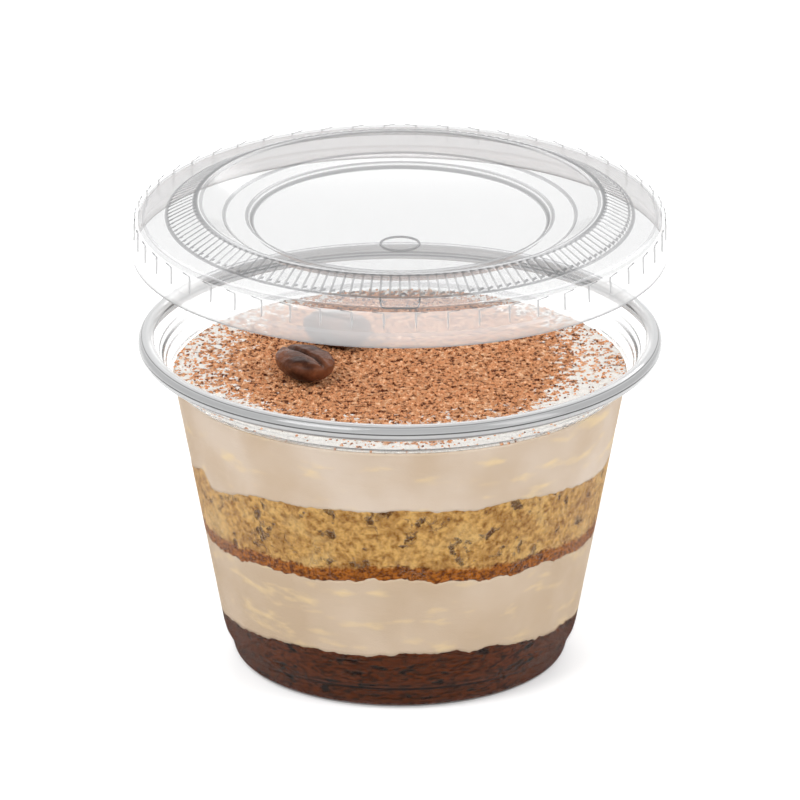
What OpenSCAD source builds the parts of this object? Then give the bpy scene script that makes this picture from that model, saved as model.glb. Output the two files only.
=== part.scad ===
// Clear portion cup with a lift-off lid and a layered dessert inside.
// Origin: centre of the foot ring, on the surface the cup stands on. +Z is up, -Y is the front.

/* [Cup] */
// Outer diameter over the rolled rim
rim_d = 74; // [70:0.5:80]
// Height from the foot to the top of the rim
cup_h = 48; // [45:0.5:54]
// Thickness of the formed cup sheet
cup_t = 0.35; // [0.3:0.05:0.45]
// Outside radius of the rolled rim's section
curl_r = 1.2; // [1.1:0.05:1.5]
// Outer diameter of the wall just under the stacking ring
shoulder_d = 64.8; // [62:0.1:65]
// Outer diameter of the wall at its foot, above the base step
waist_d = 50.6; // [49.6:0.1:54]
// Outer diameter of the base band below the step
band_d = 48.2; // [46:0.1:48.4]
// Height of the base step above the table
step_z = 3.5; // [3:0.1:4.2]
// Radius of the bottom corner
corner_r = 2.2; // [1.6:0.1:2.6]
// Rise of the pushed-up base panel above the foot
base_rise = 1; // [0.5:0.1:1.4]
// Outer diameter of the pushed-up base panel
base_panel_d = 33; // [26:0.5:36]
// Depth from the rim's top down to the stacking ring
ring_drop = 5.4; // [5:0.1:6.4]

/* [Lid] */
// Thickness of the formed lid sheet
lid_t = 0.35; // [0.3:0.05:0.45]
// Running gap between the closed lid and the rim
lid_gap = 0.08; // [0.05:0.01:0.2]
// How far the lid is held above its closed place
lid_lift = 17.4; // [12:0.2:24]
// Height of the skirt below the flange's top
skirt_h = 5.6; // [5:0.1:6.4]
// How far the skirt's lower edge flares out
skirt_flare = 0.4; // [0.2:0.05:0.8]
// Width of the flat flange outside the flutes
flange_w = 3.1; // [2.4:0.1:3.6]
// Radial length of the fluted slope
flute_w = 4; // [3:0.1:4.6]
// Height of the crest above the flange
crest_h = 2.1; // [1.4:0.1:2.6]
// Number of flutes on the slope
flute_count = 144; // [96:4:168]
// Radius of one flute's rib
flute_r = 0.2; // [0.15:0.01:0.25]
// Diameter of the ledge inside the crest
ledge_d = 49.6; // [47:0.2:50.4]
// How far the ledge lies below the flange's top
ledge_drop = 0.1; // [0:0.05:0.3]
// Diameter of the centre panel
panel_d = 43.2; // [38:0.2:45]
// How far the centre panel lies below the flange's top
panel_drop = 0.9; // [0.6:0.05:1]
// Number of grip ribs round the skirt
grip_count = 52; // [36:2:60]
// Radius of one grip rib
grip_r = 0.2; // [0.15:0.01:0.25]
// Height of one grip rib
grip_h = 2.4; // [1.6:0.1:2.8]
// Width of the front tab on the flange
tab_w = 5.8; // [4:0.2:8]
// Thickness of the front tab
tab_t = 0.3; // [0.2:0.05:0.4]
// Outer diameter of the plain ring embossed on the centre panel
mark_d = 6; // [4:0.2:8]

/* [Filling] */
// Gap between the filling and the cup's inner wall
fill_gap = 0.1; // [0.08:0.01:0.2]
// Depth from the rim's top down to the cocoa's surface
head_space = 5.5; // [5.3:0.1:6.5]
// Thickness of the cocoa dusting
cocoa_t = 0.35; // [0.2:0.05:0.5]
// Mean width of the bare cream edge round the cocoa
cocoa_margin = 0.5; // [0.5:0.1:3]
// Height of the chocolate sponge's front above the foot of the cup's wall
choc_rise = 3.8; // [3.6:0.1:6]
// Thickness of the lower cream
lower_cream_t = 11.9; // [9:0.1:12.5]
// Thickness of the vanilla sponge
sponge_t = 11.4; // [8:0.1:12]
// How far the layers sag from the front to the back
layer_sag = 2.6; // [0:0.1:2.8]
// Height of the scallops where two layers meet
scallop = 0.45; // [0:0.05:0.6]

/* [Beans] */
// Length of the rear coffee bean
bean_l = 10.4; // [8:0.1:11]
// Width of the rear coffee bean
bean_w = 7.8; // [6:0.1:8]
// Thickness of the rear coffee bean
bean_t = 4.2; // [3.4:0.1:4.3]
// Size of the front bean as a share of the rear one
bean_share = 0.95; // [0.8:0.01:1]
// Depth of the crease along a bean
crease = 0.7; // [0.4:0.05:0.9]

/* [Hidden] */
$fn = 96;

// Clearance where two solids only rest on each other
touch = 0.04;

// Points on a circle of radius r about c, from angle a to angle b, in n steps
function arc(c, r, a, b, n) = [
    for (i = [0:n])
        let (t = a + (b - a) * i / n)
        [c[0] + r * cos(t), c[1] + r * sin(t)]
];

function unit(v) = v / norm(v);
function side(v) = [-v[1], v[0]];

// Sideways step at point i of a path, lengthened at a bend so that the wall keeps its thickness
function step_at(path, i) =
    let (
        last = len(path) - 1,
        before = unit(path[max(i, 1)] - path[max(i, 1) - 1]),
        after = unit(path[min(i + 1, last)] - path[min(i + 1, last) - 1]),
        mean = unit(side(before) + side(after))
    )
    mean / (mean * side(before));

// Closed outline of a sheet of thickness t whose middle follows the path
function sheet(path, t) =
    let (last = len(path) - 1)
    concat(
        [for (i = [0:last]) path[i] + step_at(path, i) * t / 2],
        [for (i = [last:-1:0]) path[i] - step_at(path, i) * t / 2]
    );

// Middle of the cup's sheet, from the centre of the base to the tucked end of the rim
cup_half = cup_t / 2;
rim_r = rim_d / 2;
curl_centre = [rim_r - curl_r, cup_h - curl_r];
shoulder_z = cup_h - ring_drop;
shoulder_r = shoulder_d / 2 - cup_half;
ring_step = 0.6;
ring_h = 0.5;
neck_step = 0.35;
neck_step_h = 0.35;
neck_foot = [shoulder_r + ring_step, shoulder_z + ring_h];
neck_mid = (neck_foot + [rim_r - 2 * curl_r + cup_half, curl_centre[1]]) / 2;
waist_rise = 2.1;
waist_z = step_z + waist_rise;
waist_r = waist_d / 2 - cup_half;
band_r = band_d / 2 - cup_half;
band_draft = 0.25;
step_w = 0.4;
corner_centre = [band_d / 2 - corner_r - band_draft, corner_r];
foot_path = concat(
    [
        [0, base_rise + cup_half],
        [base_panel_d / 2, base_rise + cup_half],
        [base_panel_d / 2 + base_rise, cup_half]
    ],
    arc(corner_centre, corner_r - cup_half, -90, -8, 8),
    [
        [band_r, step_z - band_draft],
        [band_r + step_w, step_z + 0.1],
        [waist_r - 0.3, waist_z - waist_rise / 2],
        [waist_r, waist_z]
    ]
);
cup_path = concat(
    foot_path,
    [
        [shoulder_r, shoulder_z],
        neck_foot,
        neck_mid - [neck_step, neck_step_h] / 2,
        neck_mid + [neck_step, neck_step_h] / 2
    ],
    arc(curl_centre, curl_r - cup_half, 180, -110, 26)
);

module cup() {
    color([0.92, 0.95, 0.96, 0.3])
        rotate_extrude()
            polygon(sheet(cup_path, cup_t));
}

// Heights in the lid are measured from the flange's top
lid_z = cup_h + lid_gap + lid_t + lid_lift;
lid_half = lid_t / 2;
lid_corner_r = curl_r + lid_gap + lid_half;
lid_corner = [rim_r - curl_r, -lid_half - lid_corner_r];
skirt_r = lid_corner[0] + lid_corner_r;
flute_out = skirt_r + lid_half - flange_w - lid_corner_r;
flute_in = flute_out - flute_w;
crest_flat = 0.8;
ledge_r = ledge_d / 2;
panel_r = panel_d / 2;
panel_slope = 0.7;
flare_z = -skirt_h * 0.62;
flare_h = 0.5;
lid_path = concat(
    [
        [0, -panel_drop - lid_half],
        [panel_r - panel_slope, -panel_drop - lid_half],
        [panel_r, -ledge_drop - lid_half],
        [ledge_r, -ledge_drop - lid_half],
        [flute_in - crest_flat, crest_h - lid_half - 0.1],
        [flute_in - crest_flat / 2, crest_h - lid_half],
        [flute_in, crest_h - lid_half - 0.05],
        [flute_out, -lid_half]
    ],
    arc(lid_corner, lid_corner_r, 90, 0, 10),
    [
        [skirt_r, flare_z],
        [skirt_r + skirt_flare * 0.6, flare_z - flare_h],
        [skirt_r + skirt_flare, -skirt_h]
    ]
);

// Round ribs that lie on the slope between the flange and the crest
module flutes() {
    slope_l = norm([flute_w, crest_h]);
    lie = atan2(crest_h, flute_w);
    bare_end = slope_l * 0.06;
    for (i = [0:flute_count - 1])
        rotate([0, 0, (i + 0.5) * 360 / flute_count])
            translate([flute_out, 0, 0])
                rotate([0, lie - 90, 0])
                    translate([0, 0, bare_end])
                        cylinder(r = flute_r, h = slope_l - 2 * bare_end, $fn = 16);
}

module grips() {
    for (i = [0:grip_count - 1])
        rotate([0, 0, (i + 0.5) * 360 / grip_count])
            translate([skirt_r + lid_half, 0, lid_corner[1] - grip_h / 2])
                cylinder(r = grip_r, h = grip_h, $fn = 16);
}

// Flat tab across the flange at the front, let into the foot of the flutes
module tab() {
    tab_in = flute_out - 0.4;
    tab_l = lid_corner[0] - tab_in;
    translate([-tab_w / 2, -tab_in - tab_l, -lid_half])
        cube([tab_w, tab_l, lid_half + tab_t]);
}

// Plain raised ring on the front half of the centre panel
module mark() {
    mark_rise = 0.15;
    line_w = 0.5;
    translate([0, -panel_r * 0.42, -panel_drop - lid_half])
        difference() {
            cylinder(d = mark_d, h = lid_half + mark_rise);
            translate([0, 0, lid_half])
                cylinder(d = mark_d - 2 * line_w, h = 2 * mark_rise);
        }
}

module lid() {
    color([0.93, 0.95, 0.96, 0.3])
        translate([0, 0, lid_z])
            union() {
                rotate_extrude()
                    polygon(sheet(lid_path, lid_t));
                flutes();
                grips();
                tab();
                mark();
            }
}

// Radius that the filling reaches at height z, on the straight part of the wall
taper = atan2(shoulder_r - waist_r, shoulder_z - waist_z);
wall_clear = cup_half + fill_gap;
function fill_r(z) = waist_r + (z - waist_z) * tan(taper) - wall_clear / cos(taper);

// Heights at the front of the faces between layers, from the chocolate's top upwards
cocoa_z = cup_h - head_space;
cream_z = cocoa_z - cocoa_t;
front_z = [
    waist_z + choc_rise,
    waist_z + choc_rise + lower_cream_t,
    waist_z + choc_rise + lower_cream_t + sponge_t
];

// The angle a is counted from the front: the sag grows to the back, and scallops run all round
function sag(a) = layer_sag * (1 - pow((1 + cos(a)) / 2, 2));
function ripple(k, a) = 0.5 * sin(5 * a + 130 * k) + 0.3 * sin(8 * a + 57 * k) + 0.2 * sin(13 * a + 211 * k);
function edge_z(k, a) = front_z[k] - sag(a) + scallop * ripple(k, a);
function middle_z(k) = front_z[k] - sag(90);

turn_steps = 72;
function at(a, r, z) = [r * sin(a), -r * cos(a), z];
function ring_angles() = [for (i = [0:turn_steps - 1]) i * 360 / turn_steps];

// Ring of the face k at a share of the wall's radius, raised by lift
function face_ring(k, share, lift) = [
    for (a = ring_angles())
        let (edge = edge_z(k, a), z = middle_z(k) + (edge - middle_z(k)) * share * share + lift)
        at(a, fill_r(edge + lift) * share, z)
];
function flat_ring(r, z) = [for (a = ring_angles()) at(a, r, z)];
face_shares = [0.35, 0.7, 1];
function up_rings(k) = [for (i = [0:2]) face_ring(k, face_shares[i], touch)];
function down_rings(k) = [for (i = [2:-1:0]) face_ring(k, face_shares[i], 0)];

// Closed solid through a stack of rings, from a point below them to a point above
module ringed(low, rings, high) {
    n = len(rings[0]);
    last = len(rings) - 1;
    points = concat([low], [for (ring = rings) for (p = ring) p], [high]);
    top = len(points) - 1;
    faces = concat(
        [for (i = [0:n - 1]) [0, 1 + i, 1 + (i + 1) % n]],
        [
            for (j = [0:last - 1]) for (i = [0:n - 1])
                let (a = 1 + j * n + i, b = 1 + j * n + (i + 1) % n)
                each [[a, a + n, b], [b, a + n, b + n]]
        ],
        [for (i = [0:n - 1]) [1 + last * n + i, top, 1 + last * n + (i + 1) % n]]
    );
    polyhedron(points, faces);
}

module chocolate_sponge() {
    bed = [for (i = [0:len(foot_path) - 1]) cup_path[i] + step_at(cup_path, i) * wall_clear];
    color([0.36, 0.22, 0.17])
        ringed(
            [0, 0, bed[0][1]],
            concat([for (i = [1:len(bed) - 1]) flat_ring(bed[i][0], bed[i][1])], down_rings(0)),
            [0, 0, middle_z(0)]
        );
}

module lower_cream() {
    color([0.86, 0.78, 0.70])
        ringed(
            [0, 0, middle_z(0) + touch],
            concat(up_rings(0), down_rings(1)),
            [0, 0, middle_z(1)]
        );
}

module vanilla_sponge() {
    color([0.83, 0.70, 0.48])
        ringed(
            [0, 0, middle_z(1) + touch],
            concat(up_rings(1), down_rings(2)),
            [0, 0, middle_z(2)]
        );
}

module upper_cream() {
    color([0.88, 0.81, 0.73])
        ringed(
            [0, 0, middle_z(2) + touch],
            concat(up_rings(2), [flat_ring(fill_r(cream_z), cream_z)]),
            [0, 0, cream_z]
        );
}

module cocoa_dusting() {
    mean_r = fill_r(cocoa_z) - cocoa_margin;
    sway = 0.3;
    color([0.66, 0.42, 0.26])
        translate([0, 0, cream_z + touch])
            linear_extrude(cocoa_t - touch)
                polygon([
                    for (a = ring_angles())
                        let (r = mean_r + sway * ripple(3, a))
                        [r * sin(a), -r * cos(a)]
                ]);
}

// Bean lying on its round back, with the crease up and its lowest point at the origin
module bean(l, w, t) {
    around = 36;
    along = 15;
    back = t * 0.66;
    crease_w = w * 0.09;
    function girth(u) = pow(1 - pow(abs(u), 2.3), 0.5);
    function bean_ring(u) = [
        for (i = [0:around - 1])
            let (
                v = i * 360 / around,
                y = w / 2 * girth(u) * cos(v),
                bend = w * 0.05 * sin(150 * u),
                cut = crease * girth(u) * exp(-pow((y - bend) / crease_w, 2)),
                up = (t - back) * pow(girth(u), 0.7) * pow(abs(sin(v)), 0.6) - cut,
                down = -back * girth(u) * abs(sin(v))
            )
            [l / 2 * u, y, back + (v > 0 && v < 180 ? up : down)]
    ];
    color([0.20, 0.10, 0.06])
        ringed(
            [-l / 2, 0, back],
            [for (j = [1:along]) bean_ring(sin(-90 + 180 * j / (along + 1)))],
            [l / 2, 0, back]
        );
}

bean_seat = cocoa_z + touch;
rear_at = [-8.9, 9.9];
rear_turn = -38;
front_at = [-13.4, -3.5];
front_turn = -58;

module coffee_bean_rear() {
    translate([rear_at[0], rear_at[1], bean_seat])
        rotate([0, 0, rear_turn])
            bean(bean_l, bean_w, bean_t);
}

module coffee_bean_front() {
    translate([front_at[0], front_at[1], bean_seat])
        rotate([0, 0, front_turn])
            bean(bean_l * bean_share, bean_w * bean_share, bean_t * bean_share);
}

cup();
lid();
chocolate_sponge();
lower_cream();
vanilla_sponge();
upper_cream();
cocoa_dusting();
coffee_bean_rear();
coffee_bean_front();
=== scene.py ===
import math
import bpy
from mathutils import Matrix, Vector, noise


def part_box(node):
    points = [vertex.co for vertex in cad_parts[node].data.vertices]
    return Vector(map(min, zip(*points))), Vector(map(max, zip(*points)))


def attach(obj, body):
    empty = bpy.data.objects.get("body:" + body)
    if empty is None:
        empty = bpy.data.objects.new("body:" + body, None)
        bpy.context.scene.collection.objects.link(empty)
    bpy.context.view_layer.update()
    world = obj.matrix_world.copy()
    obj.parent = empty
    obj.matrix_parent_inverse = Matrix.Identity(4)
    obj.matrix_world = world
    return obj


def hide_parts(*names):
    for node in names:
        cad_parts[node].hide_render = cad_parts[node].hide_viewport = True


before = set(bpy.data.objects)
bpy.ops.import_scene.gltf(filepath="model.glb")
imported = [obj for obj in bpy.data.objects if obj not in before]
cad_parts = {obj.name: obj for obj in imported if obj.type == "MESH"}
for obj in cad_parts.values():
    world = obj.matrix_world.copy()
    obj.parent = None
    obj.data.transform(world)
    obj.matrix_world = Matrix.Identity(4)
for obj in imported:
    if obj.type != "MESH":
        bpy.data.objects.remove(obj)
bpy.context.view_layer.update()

mm = 0.001
fullTurn = 2 * math.pi
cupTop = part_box("cup")[1].z / mm  # top of the rim, in mm above the table
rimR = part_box("cup")[1].x / mm  # outer radius of the rolled rim
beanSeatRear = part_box("coffee_bean_rear")[0].z / mm
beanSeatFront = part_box("coffee_bean_front")[0].z / mm
print("frame loaded, rim radius", round(rimR, 2), "top", round(cupTop, 2))


# Profiles and sheets

def unit2(v):
    length = math.hypot(v[0], v[1])
    return (v[0] / length, v[1] / length)


def arcPoints(centre, radius, startDeg, endDeg, steps):
    points = []
    for i in range(steps + 1):
        t = math.radians(startDeg + (endDeg - startDeg) * i / steps)
        points.append((centre[0] + radius * math.cos(t), centre[1] + radius * math.sin(t)))
    return points


def roundPath(points, radius, steps=3):
    smooth = [points[0]]
    for i in range(1, len(points) - 1):
        a, b, c = points[i - 1], points[i], points[i + 1]
        inward = unit2((a[0] - b[0], a[1] - b[1]))
        onward = unit2((c[0] - b[0], c[1] - b[1]))
        dot = max(-1, min(1, inward[0] * onward[0] + inward[1] * onward[1]))
        turn = math.pi - math.acos(dot)
        if turn < math.radians(14):
            smooth.append(b)
            continue
        reach = min(math.dist(a, b), math.dist(b, c)) * 0.45
        cut = min(radius * math.tan(turn / 2), reach)
        p0 = (b[0] + inward[0] * cut, b[1] + inward[1] * cut)
        p2 = (b[0] + onward[0] * cut, b[1] + onward[1] * cut)
        for k in range(steps + 1):
            t = k / steps
            early, mid, late = (1 - t) ** 2, 2 * t * (1 - t), t * t
            smooth.append(tuple(early * p0[j] + mid * b[j] + late * p2[j] for j in (0, 1)))
    smooth.append(points[-1])
    return smooth


def sideStep(points, i):
    last = len(points) - 1
    j, k = max(i, 1), min(i + 1, last)
    before = unit2((points[j][0] - points[j - 1][0], points[j][1] - points[j - 1][1]))
    after = unit2((points[k][0] - points[k - 1][0], points[k][1] - points[k - 1][1]))
    mean = unit2((-before[1] - after[1], before[0] + after[0]))
    share = mean[0] * -before[1] + mean[1] * before[0]
    return (mean[0] / share, mean[1] / share)


def beside(path, gap):  # the same path moved sideways, to the left of its run
    sides = [sideStep(path, i) for i in range(len(path))]
    return [(p[0] + side[0] * gap, p[1] + side[1] * gap) for p, side in zip(path, sides)]


def atTurn(r, a, z):  # a point at radius r and turn a, where 0 is the front
    return (r * math.sin(a), -r * math.cos(a), z)


def newObject(name, data):
    piece = bpy.data.objects.new(name, data)
    bpy.context.scene.collection.objects.link(piece)
    return piece


def setLine(mesh, values):  # a value at each point, which the materials and node trees read
    mesh.attributes.new("line", "FLOAT", "POINT").data.foreach_set("value", values)


def makeObject(name, points, faces, material, shade=None, smooth=True):
    mesh = bpy.data.meshes.new(name)
    mesh.from_pydata([(x * mm, y * mm, z * mm) for x, y, z in points], [], faces)
    mesh.materials.append(material)
    if shade:
        setLine(mesh, shade)
    mesh.polygons.foreach_set("use_smooth", [smooth] * len(mesh.polygons))
    mesh.update()
    return newObject(name, mesh)


def spinSheet(name, path, thickness, segments, material, wave=None):
    inner, outer = beside(path, thickness / 2), beside(path, -thickness / 2)
    points, rows, faces = [], [], []
    for r, z in inner + outer[::-1]:
        if abs(r) < 1e-6:
            rows.append([len(points)] * segments)
            points.append((0, 0, z))
            continue
        row = []
        for s in range(segments):
            a = fullTurn * s / segments
            dr, dz = wave(r, a) if wave else (0, 0)
            row.append(len(points))
            points.append(atTurn(r + dr, a, z + dz))
        rows.append(row)
    for low, high in zip(rows, rows[1:]):
        for s in range(segments):
            t = (s + 1) % segments
            if low[s] == low[t] and high[s] == high[t]:
                continue
            if low[s] == low[t]:
                faces.append((low[s], high[s], high[t]))
            elif high[s] == high[t]:
                faces.append((low[s], high[s], low[t]))
            else:
                faces.append((low[s], high[s], high[t], low[t]))
    return makeObject(name, points, faces, material)


def placePiece(piece, body, slotName, *nodes):
    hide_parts(*nodes)
    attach(piece, body)


# Shader tools

def link(tree, outSocket, inSocket):
    tree.links.new(outSocket, inSocket)


def feed(tree, node, values):  # plain values, or links from other nodes
    for name, value in values.items():
        if isinstance(value, bpy.types.NodeSocket):
            link(tree, value, node.inputs[name])
        else:
            node.inputs[name].default_value = value


def addNode(tree, kind, values):
    node = tree.nodes.new(kind)
    feed(tree, node, values)
    return node.outputs


def newGroup(name, kind, inputs, outputs):
    group = bpy.data.node_groups.new(name, kind)
    for way, table in (("INPUT", inputs), ("OUTPUT", outputs)):
        for label, what, *value in table:
            item = group.interface.new_socket(name=label, in_out=way, socket_type="NodeSocket" + what)
            if value:
                item.default_value = value[0]
    return group, group.nodes.new("NodeGroupInput").outputs, group.nodes.new("NodeGroupOutput").inputs


def useGroup(tree, group, values):
    node = tree.nodes.new("ShaderNodeGroup")
    node.node_tree = group
    feed(tree, node, values)
    return node.outputs


def mixColor(tree, a, b, factor):
    node = tree.nodes.new("ShaderNodeMix")
    node.data_type = "RGBA"
    feed(tree, node, {0: factor, 6: a, 7: b})  # the colour sockets of this node, by their places
    return node.outputs[2]


def mathNode(tree, operation, a, b=None, clamp=False):
    node = tree.nodes.new("ShaderNodeMath")
    node.operation = operation
    node.use_clamp = clamp
    feed(tree, node, {0: a} if b is None else {0: a, 1: b})
    return node.outputs[0]


def rangeNode(tree, value, low, high, toLow=0.0, toHigh=1.0):
    node = tree.nodes.new("ShaderNodeMapRange")
    node.clamp = True
    feed(tree, node, {"Value": value, "From Min": low, "From Max": high, "To Min": toLow, "To Max": toHigh})
    return node.outputs["Result"]


def noiseNode(tree, vector, scale, detail=4.0, rough=0.55, distortion=0.0):
    return addNode(tree, "ShaderNodeTexNoise", {
        "Vector": vector, "Scale": scale, "Detail": detail, "Roughness": rough, "Distortion": distortion,
    })["Fac"]


def rgb(r, g, b):  # a colour as read from a screen, made linear
    def flat(c):
        c = c / 255
        return c / 12.92 if c <= 0.04045 else ((c + 0.055) / 1.055) ** 2.4
    return (flat(r), flat(g), flat(b), 1.0)


def newMaterial(name):
    material = bpy.data.materials.new(name)
    material.use_nodes = True
    tree = material.node_tree
    shader = tree.nodes["Principled BSDF"]
    coords = tree.nodes.new("ShaderNodeTexCoord").outputs["Object"]
    return material, tree, shader, coords


def timesNode(tree, *factors):
    product = factors[0]
    for factor in factors[1:]:
        product = mathNode(tree, "MULTIPLY", product, factor)
    return product


def restOf(tree, share):  # what a share leaves of 1
    return mathNode(tree, "SUBTRACT", 1.0, share)


def pointLine(tree):  # the value that a mesh carries at its points: the depth of a painted shade line or of a crease's painted shade, a crust or a cover
    node = tree.nodes.new("ShaderNodeAttribute")
    node.attribute_name = "line"
    return node.outputs["Fac"]


def crumbGroup():
    group, given, result = newGroup("crumb", "ShaderNodeTree", (
        ("Vector", "Vector"), ("Crumb Scale", "Float", 600.0), ("Crack Scale", "Float", 300.0),
        ("Crack Width", "Float", 0.02), ("Crack Depth", "Float", 0.5), ("Light", "Color", (0.8, 0.7, 0.5, 1)),
        ("Dark", "Color", (0.5, 0.4, 0.2, 1)), ("Pore", "Color", (0.3, 0.2, 0.1, 1)),
    ), (("Color", "Color"), ("Height", "Float")))
    vector, depth = given["Vector"], given["Crack Depth"]
    lumps = noiseNode(group, vector, given["Crumb Scale"], 6.0, 0.62)
    cracks = noiseNode(group, vector, given["Crack Scale"], 3.0, 0.5, 0.6)
    offMiddle = mathNode(group, "ABSOLUTE", mathNode(group, "SUBTRACT", cracks, 0.5))
    spread = mathNode(group, "DIVIDE", offMiddle, given["Crack Width"])
    thin = mathNode(group, "SUBTRACT", 1.0, spread, clamp=True)
    patch = noiseNode(group, vector, 210.0, 2.0, 0.5)
    # painted shade: the cracks and pits are mixed towards the dark pore colour, as well as sunk in the bump
    hole = timesNode(group, thin, rangeNode(group, patch, 0.56, 0.64, 0.0, 0.4))
    hole = mathNode(group, "MULTIPLY", hole, depth, clamp=True)
    pits = noiseNode(group, vector, timesNode(group, given["Crumb Scale"], 0.3), 4.0, 0.6)
    hole = mathNode(group, "MAXIMUM", hole, timesNode(group, rangeNode(group, pits, 0.405, 0.35), depth))
    color = mixColor(group, given["Light"], given["Dark"], rangeNode(group, lumps, 0.40, 0.66))
    link(group, mixColor(group, color, given["Pore"], hole), result["Color"])
    link(group, mathNode(group, "SUBTRACT", lumps, hole), result["Height"])
    return group


def useCrumb(tree, coords, values):
    made = useGroup(tree, crumb, {"Vector": coords, **values})
    return made["Color"], made["Height"]


def unseenRays(tree):  # 1 for the rays that carry light and not sight
    path = tree.nodes.new("ShaderNodeLightPath").outputs
    return mathNode(tree, "MAXIMUM", path["Is Shadow Ray"], path["Is Diffuse Ray"])


def directRays(tree):  # 1 for the rays that see the white ground, straight or through gloss and glass
    path = tree.nodes.new("ShaderNodeLightPath").outputs
    direct = mathNode(tree, "MAXIMUM", path["Is Camera Ray"], path["Is Glossy Ray"])
    return mathNode(tree, "MAXIMUM", direct, path["Is Transmission Ray"])


def bumpInto(tree, shader, height, distance, strength=1.0):
    bump = addNode(tree, "ShaderNodeBump", {"Distance": distance, "Strength": strength, "Height": height})
    link(tree, bump["Normal"], shader.inputs["Normal"])


def shadeRingLineGroup():  # one painted shade line round a sheet, at a radius, a height or an angle of its section
    group, given, result = newGroup("shadeRingLine", "ShaderNodeTree", (
        ("Along", "Float", 0.0), ("Centre", "Float", 0.0), ("Width", "Float", 0.001), ("Depth", "Float", 0.5),
        ("Other Lines", "Float", 0.0),
    ), (("Line", "Float"),))
    off = mathNode(group, "ABSOLUTE", mathNode(group, "SUBTRACT", given["Along"], given["Centre"]))
    drop = mathNode(group, "DIVIDE", off, given["Width"])
    rise = mathNode(group, "SUBTRACT", 2.0, mathNode(group, "MULTIPLY", drop, 2.0), clamp=True)
    line = mathNode(group, "MULTIPLY", rise, given["Depth"])
    link(group, mathNode(group, "MAXIMUM", line, given["Other Lines"]), result["Line"])
    return group


# paints dark lines into a sheet's colour: painted shade for the refraction at a clear sheet's bends
def paintShadeLines(tree, along, table, unit=mm, others=None):
    for centre, width, depth in table:
        values = {"Along": along, "Centre": centre * unit, "Width": width * unit, "Depth": depth}
        if others:
            values["Other Lines"] = others
        others = useGroup(tree, shadeRingLine, values)["Line"]
    return others


def lengthOf(tree, x, y):
    return mathNode(tree, "SQRT", mathNode(tree, "ADD", timesNode(tree, x, x), timesNode(tree, y, y)))


def placeOnSheet(tree, coords):  # radius, height and the turn round the axis
    parts = addNode(tree, "ShaderNodeSeparateXYZ", {"Vector": coords})
    x, y = parts["X"], parts["Y"]
    return lengthOf(tree, x, y), parts["Z"], mathNode(tree, "ARCTAN2", x, y)


def between(tree, value, low, high):
    above = mathNode(tree, "GREATER_THAN", value, low * mm)
    return mathNode(tree, "MULTIPLY", above, mathNode(tree, "LESS_THAN", value, high * mm))


def sheetCover(tree, shader, cover, values):  # a sheet that is thin to the eye, and thinner still to light
    facing = tree.nodes.new("ShaderNodeLayerWeight").outputs["Facing"]
    glance = timesNode(tree, mathNode(tree, "POWER", facing, values["glancePower"]), values["glance"])
    cover = mathNode(tree, "ADD", cover, glance, clamp=True)
    back = tree.nodes.new("ShaderNodeNewGeometry").outputs["Backfacing"]
    held = restOf(tree, timesNode(tree, unseenRays(tree), values["lightPassed"]))
    link(tree, timesNode(tree, cover, restOf(tree, back), held), shader.inputs["Alpha"])


def setGloss(tree, shader, values):
    feed(tree, shader, {
        "Roughness": values["roughness"], "Coat Weight": values["coat"], "Coat Roughness": 0.03,
    })


print("making materials")
crumb = crumbGroup()
shadeRingLine = shadeRingLineGroup()


def stretched(tree, coords, scale):  # coordinates squeezed along one way, for streaks along the others
    return addNode(tree, "ShaderNodeMapping", {"Vector": coords, "Scale": scale})["Vector"]


wetContact = 0.0  # food that wets the wall has no gloss of its own there
crumbSheen = {"Sheen Roughness": 0.35, "Sheen Tint": (1.0, 0.82, 0.7, 1)}  # the soft fibres of the crumb


def spongeMaterial():
    material, tree, shader, coords = newMaterial("vanillaSponge")
    # the pore colour is painted shade in the crumb's holes
    crumbColor, height = useCrumb(tree, coords, {
        "Crumb Scale": 1150.0, "Crack Scale": 420.0, "Crack Width": 0.03, "Crack Depth": 0.9,
        "Light": rgb(214, 168, 98), "Dark": rgb(134, 86, 34), "Pore": rgb(80, 44, 14),
    })
    airy = noiseNode(tree, coords, 190.0, 3.0)
    crumbColor = mixColor(tree, crumbColor, rgb(230, 194, 130), rangeNode(tree, airy, 0.50, 0.64, 0.0, 0.45))
    crumbColor = mixColor(tree, crumbColor, rgb(140, 92, 38), rangeNode(tree, airy, 0.44, 0.34, 0.0, 0.4))
    crustNoise = noiseNode(tree, stretched(tree, coords, (1.0, 1.0, 1.3)), 1500.0, 4.0, 0.65)
    crustTone = mixColor(tree, rgb(176, 102, 30), rgb(88, 42, 6), rangeNode(tree, crustNoise, 0.40, 0.60))
    crustEdge = mathNode(tree, "ADD", pointLine(tree), timesNode(tree, crustNoise, 0.7))
    mask = rangeNode(tree, crustEdge, 0.80, 0.96)
    feed(tree, shader, {
        "Base Color": mixColor(tree, crumbColor, crustTone, mask), "Roughness": 0.72,
        "Specular IOR Level": wetContact, "Sheen Weight": 0.35, **crumbSheen,
    })
    bumpInto(tree, shader, height, 0.0006)
    return material


def chocolateMaterial():
    material, tree, shader, coords = newMaterial("chocolateSponge")
    fibres = stretched(tree, coords, (1.0, 1.0, 2.4))
    # the pore colour is painted shade in the crumb's holes
    color, height = useCrumb(tree, fibres, {
        "Crumb Scale": 1000.0, "Crack Scale": 300.0, "Crack Width": 0.035, "Crack Depth": 0.9,
        "Light": rgb(102, 49, 21), "Dark": rgb(24, 10, 4), "Pore": rgb(10, 4, 2),
    })
    feed(tree, shader, {
        "Base Color": color, "Roughness": 0.7, "Specular IOR Level": wetContact,
        "Sheen Weight": 0.08, **crumbSheen,
    })
    bumpInto(tree, shader, height, 0.0008)
    return material


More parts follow.
